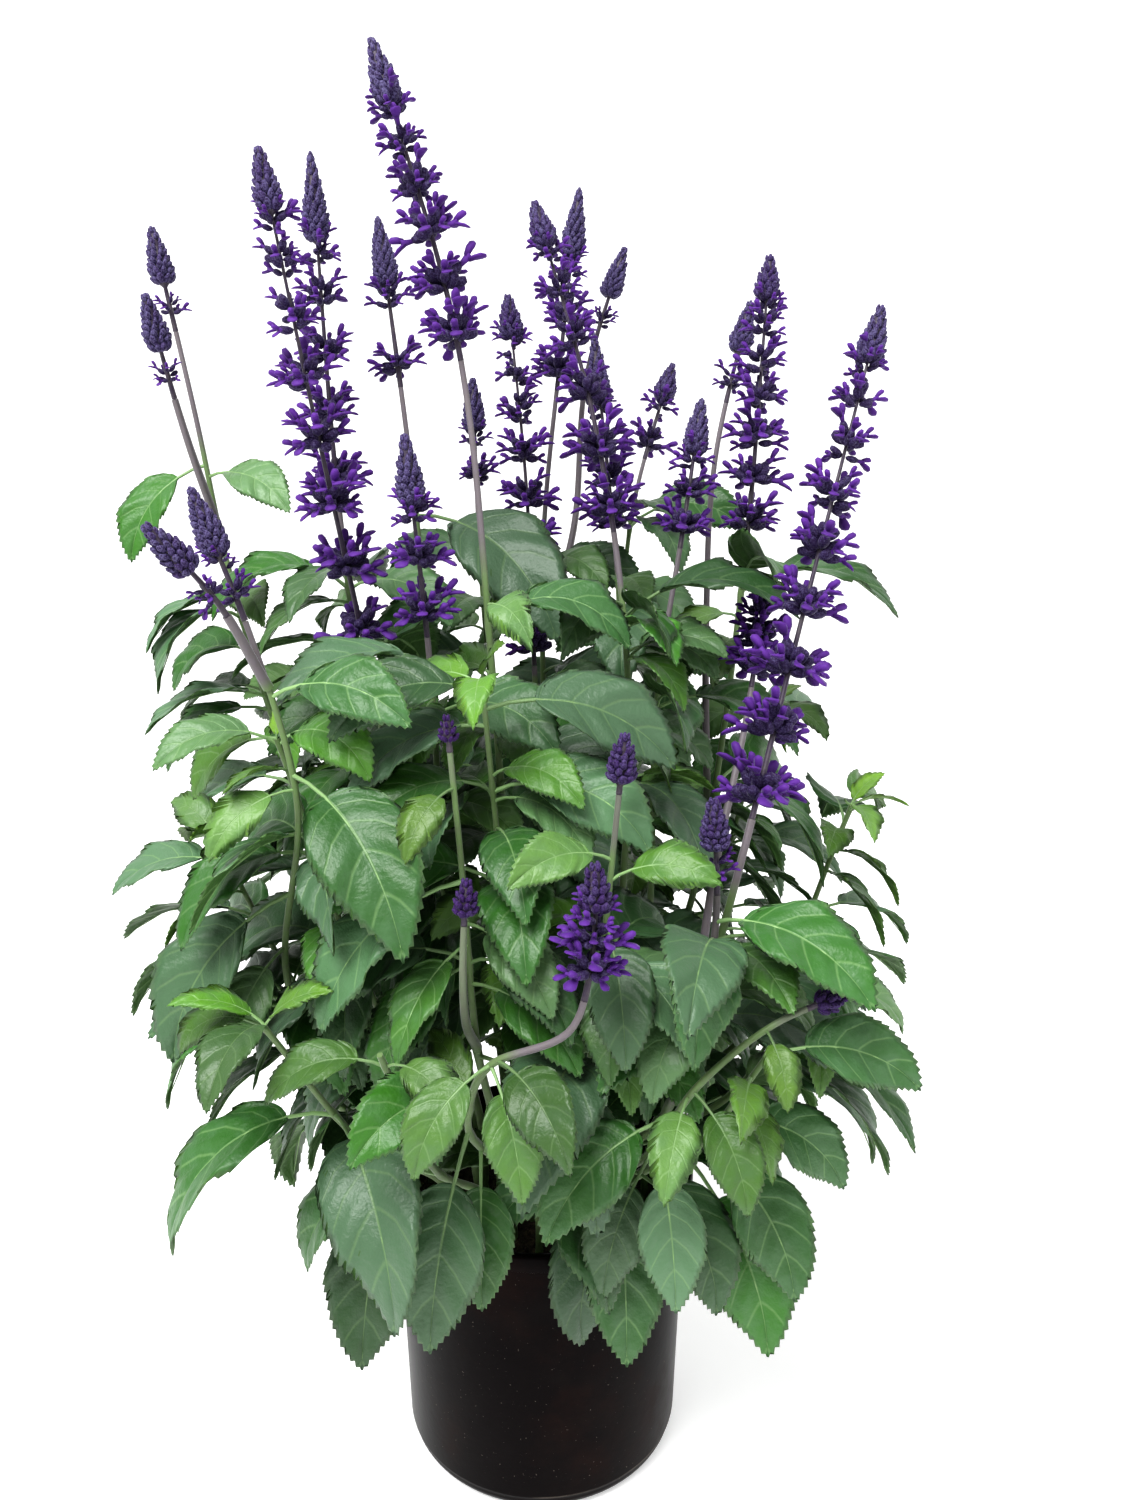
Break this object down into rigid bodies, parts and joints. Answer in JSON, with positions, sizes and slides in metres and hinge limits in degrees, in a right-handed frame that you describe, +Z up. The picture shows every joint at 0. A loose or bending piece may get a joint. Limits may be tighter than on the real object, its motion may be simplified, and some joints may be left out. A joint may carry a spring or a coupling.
{
  "type": "potted salvia plant",
  "caption": "Bushy potted plant with toothed oval leaves on square stems and upright spikes of violet flowers, in a plain round nursery pot.",
  "frame": {"origin": "centre of the pot's foot, on the surface that it stands on", "axes": "+Z up the plant, -Y towards the viewer of the picture, +X to the viewer's right"},
  "size_m": [0.4468, 0.4176, 0.744],
  "materials": {
    "pot": "dark brown moulded plastic, slightly glossy and dusty",
    "soil": "moist dark potting soil with bark",
    "leaf": "living leaf and green stem, matt with a soft sheen",
    "flower": "velvety violet flowers and grey-violet buds"
  },
  "bodies": {
    "root": {"pot": "pot", "soil": "soil", "spike_dense_1": "flower", "spike_far_left_1": "flower", "spike_far_left_2": "flower", "spike_front_bent_1": "flower", "spike_front_bud_1": "flower", "spike_front_bud_2": "flower", "spike_front_mid_1": "flower", "spike_front_right_1": "flower", "spike_grey_bud_1": "flower", "spike_leaning_1": "flower", "spike_leaning_2": "flower", "spike_leaning_3": "flower", "spike_left_fork_1": "flower", "spike_left_fork_2": "flower", "spike_left_full_1": "flower", "spike_left_rear_1": "flower", "spike_left_small_1": "flower", "spike_middle_1": "flower", "spike_rear_far_1": "flower", "spike_rear_low_1": "flower", "spike_rear_mid_1": "flower", "spike_rear_tall_1": "flower", "spike_rear_tall_2": "flower", "spike_right_full_1": "flower", "spike_right_full_2": "flower", "spike_right_mid_1": "flower", "spike_tall_1": "flower", "stem_dense": "leaf", "stem_far_left": "leaf", "stem_front_bent": "leaf", "stem_front_bud": "leaf", "stem_front_mid": "leaf", "stem_front_right": "leaf", "stem_grey_bud": "leaf", "stem_leafy_centre": "leaf", "stem_leafy_front_left": "leaf", "stem_leafy_front_right": "leaf", "stem_leafy_left": "leaf", "stem_leafy_left_high": "leaf", "stem_leafy_left_low": "leaf", "stem_leafy_rear": "leaf", "stem_leafy_rear_left": "leaf", "stem_leafy_rear_right": "leaf", "stem_leafy_right": "leaf", "stem_leafy_right_low": "leaf", "stem_leaning": "leaf", "stem_left_fork": "leaf", "stem_left_full": "leaf", "stem_left_rear": "leaf", "stem_left_small": "leaf", "stem_middle": "leaf", "stem_rear_far": "leaf", "stem_rear_low": "leaf", "stem_rear_mid": "leaf", "stem_rear_tall": "leaf", "stem_right_full": "leaf", "stem_right_mid": "leaf", "stem_tall": "leaf"}
  },
  "joints": []
}
